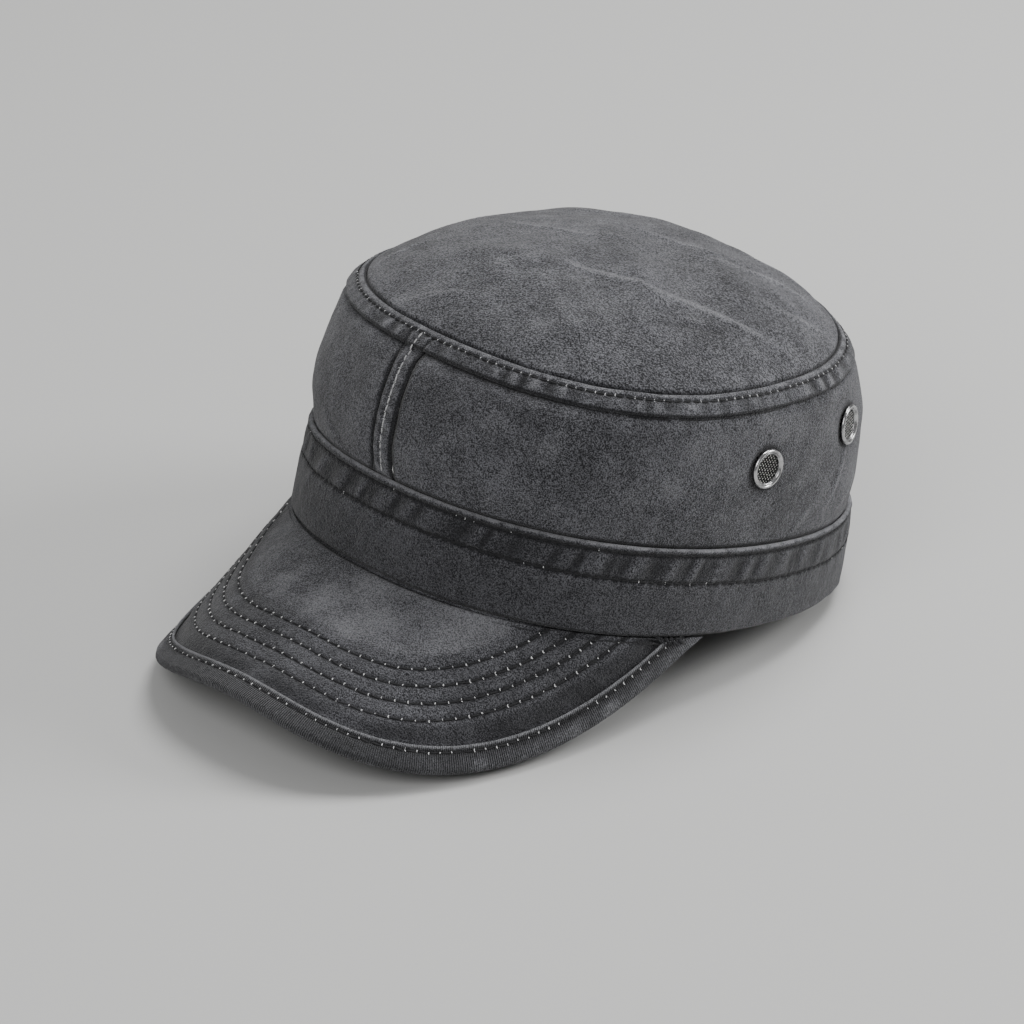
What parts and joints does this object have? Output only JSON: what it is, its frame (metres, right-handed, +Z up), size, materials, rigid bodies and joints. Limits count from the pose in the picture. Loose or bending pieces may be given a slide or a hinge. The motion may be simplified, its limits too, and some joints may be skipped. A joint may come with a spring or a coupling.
{
  "type": "patrol cap",
  "caption": "Washed cotton patrol cap with a flat-sided crown, domed top, doubled band, quilted peak with bound edge, and meshed vent eyelets.",
  "frame": {"origin": "on the floor under the middle of the cap's outline, as it rests", "axes": "+Z up from the floor, -Y towards the front of the peak, +X towards the wearer's left"},
  "size_m": [0.1804, 0.2632, 0.1297],
  "materials": {
    "twill": "washed charcoal cotton twill, mottled, worn paler on its folds",
    "worn_twill": "the same twill, rolled, felled or folded, with worn and puckered edges",
    "eyelet_steel": "darkened steel, bright on its rim",
    "eyelet_wire": "fine dark woven wire"
  },
  "bodies": {
    "root": {"crown_top": "twill", "top_ring": "worn_twill", "left_panel": "twill", "right_panel": "twill", "front_seam": "worn_twill", "back_seam": "worn_twill", "band": "twill", "peak": "twill", "peak_binding": "worn_twill", "eyelet_ring_left_front": "eyelet_steel", "eyelet_ring_left_back": "eyelet_steel", "eyelet_ring_right_front": "eyelet_steel", "eyelet_ring_right_back": "eyelet_steel", "eyelet_mesh_left_front": "eyelet_wire", "eyelet_mesh_left_back": "eyelet_wire", "eyelet_mesh_right_front": "eyelet_wire", "eyelet_mesh_right_back": "eyelet_wire"}
  },
  "joints": []
}
